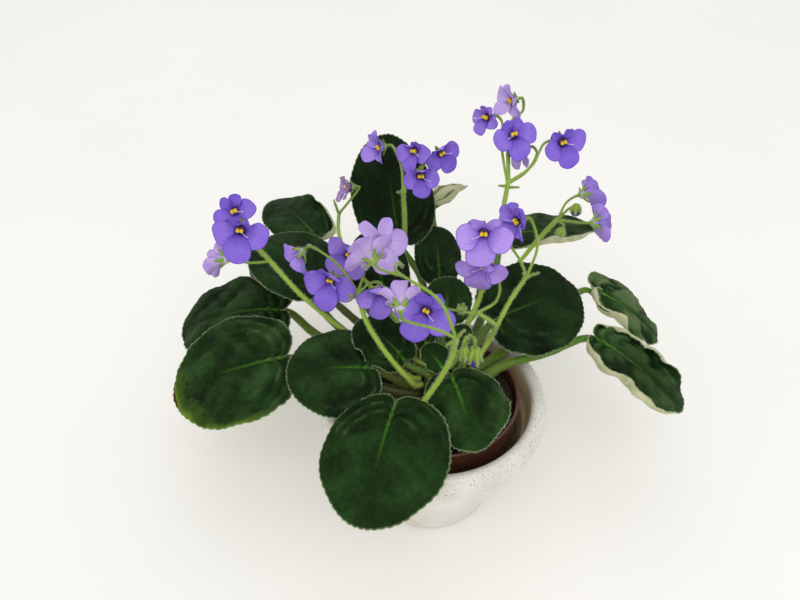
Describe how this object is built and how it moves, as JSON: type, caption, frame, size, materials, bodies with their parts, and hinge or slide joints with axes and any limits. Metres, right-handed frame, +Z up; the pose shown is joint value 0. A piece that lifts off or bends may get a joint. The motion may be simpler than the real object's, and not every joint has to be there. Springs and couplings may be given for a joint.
{
  "type": "potted african violet",
  "caption": "Potted African violet: a rosette of broad hairy leaves with branched stalks of violet flowers, in a nursery pot inside a ceramic outer pot.",
  "frame": {"origin": "centre of the outer pot's flat base, on the surface it stands on", "axes": "+Z up along the pot's axis, +X to the right and +Y away from the viewer as in the reference picture"},
  "size_m": [0.3045, 0.2705, 0.212],
  "materials": {
    "ceramic": "glazed speckled ceramic",
    "plastic": "satin moulded plastic",
    "soil": "damp loose potting soil",
    "crown": "hairy living tissue",
    "leaf": "velvety quilted leaf",
    "stalk": "hairy living stem",
    "petal": "soft crystalline petal",
    "pale_petal": "soft pale petal"
  },
  "bodies": {
    "root": {"bloom_back_1": "petal", "bloom_back_2": "petal", "bloom_back_3": "petal", "bloom_back_4": "petal", "bloom_centre_1": "petal", "bloom_centre_2": "petal", "bloom_centre_3": "petal", "bloom_centre_4": "petal", "bloom_front_1": "pale_petal", "bloom_front_2": "pale_petal", "bloom_front_3": "pale_petal", "bloom_left_1": "petal", "bloom_left_2": "petal", "bloom_left_3": "pale_petal", "bloom_middle_1": "petal", "bloom_middle_2": "petal", "bloom_middle_3": "petal", "bloom_middle_4": "petal", "bloom_old": "petal", "bloom_right_1": "petal", "bloom_right_2": "petal", "bloom_tall_1": "pale_petal", "bloom_tall_2": "petal", "bloom_tall_3": "petal", "bloom_tall_4": "pale_petal", "bloom_tall_5": "petal", "crown": "crown", "leaf_back_centre": "leaf", "leaf_back_left": "leaf", "leaf_back_right": "leaf", "leaf_back_small": "leaf", "leaf_far_back": "leaf", "leaf_far_left": "leaf", "leaf_far_right": "leaf", "leaf_far_right_upper": "leaf", "leaf_front": "leaf", "leaf_left_back": "leaf", "leaf_left_front": "leaf", "leaf_left_upper": "leaf", "leaf_right": "leaf", "leaf_right_front": "leaf", "leaf_tall_back": "leaf", "leaf_under_left": "leaf", "leaf_young_left": "leaf", "nursery_pot": "plastic", "outer_pot": "ceramic", "soil": "soil", "stalk_back": "stalk", "stalk_centre": "stalk", "stalk_front": "stalk", "stalk_left": "stalk", "stalk_middle": "stalk", "stalk_old": "stalk", "stalk_right": "stalk", "stalk_tall": "stalk", "stalk_young": "stalk"}
  },
  "joints": []
}
